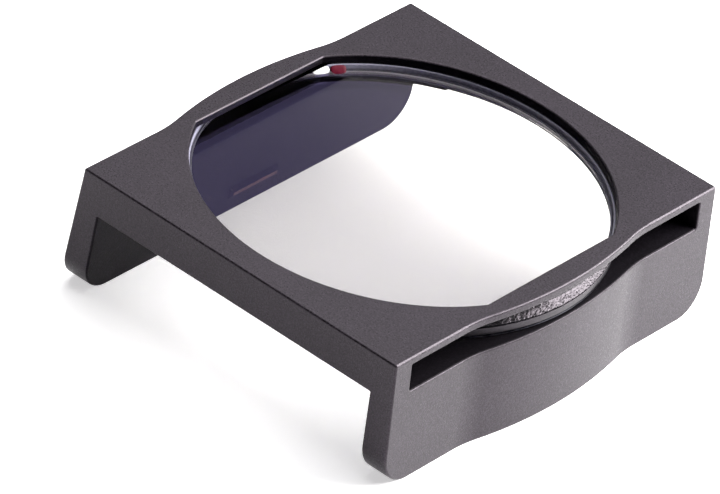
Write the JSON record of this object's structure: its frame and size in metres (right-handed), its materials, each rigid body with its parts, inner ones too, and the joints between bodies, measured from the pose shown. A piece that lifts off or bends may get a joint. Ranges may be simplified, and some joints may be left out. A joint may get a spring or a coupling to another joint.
{
  "type": "clip-on polarising lens cover",
  "caption": "Clip-on lens cover: a moulded frame with two side legs snaps over a small camera, and a thumb ring holding a polariser turns inside it.",
  "frame": {"origin": "middle of the plane that the leg ends stand on", "axes": "+Z out of the front face, X across the two legs, Y along the legs"},
  "size_m": [0.0526, 0.057, 0.0165],
  "materials": {
    "frame_plastic": "fine moulded spark-erosion texture, charcoal",
    "plate_plastic": "fine moulded texture, black",
    "ring_plastic": "satin, ribbed rim, charcoal",
    "spring_steel": "bright rolled strip",
    "clip_steel": "satin, dark nickel",
    "coated_glass": "polished, violet anti-reflection coating",
    "polarising_film": "laminated film, faint grey-violet",
    "retarder_film": "laminated film, clear",
    "white_paint": "satin paint",
    "red_paint": "satin paint"
  },
  "bodies": {
    "frame": {"clip_frame": "frame_plastic", "ring_keeper_low_y": "plate_plastic", "ring_keeper_high_y": "plate_plastic", "wave_washer": "spring_steel"},
    "ring": {"thumb_ring": "ring_plastic", "lens_cell": "ring_plastic", "lens_clip_ring": "clip_steel", "front_glass": "coated_glass", "polarising_film": "polarising_film", "quarter_wave_film": "retarder_film", "rear_glass": "coated_glass", "white_index_mark": "white_paint", "red_index_mark": "red_paint"}
  },
  "joints": [
    {"name": "ring_turn", "type": "hinge", "parent": "frame", "child": "ring", "pos_m": [0, 0, 0.014], "axis": [0, 0, 1], "continuous": true}
  ]
}
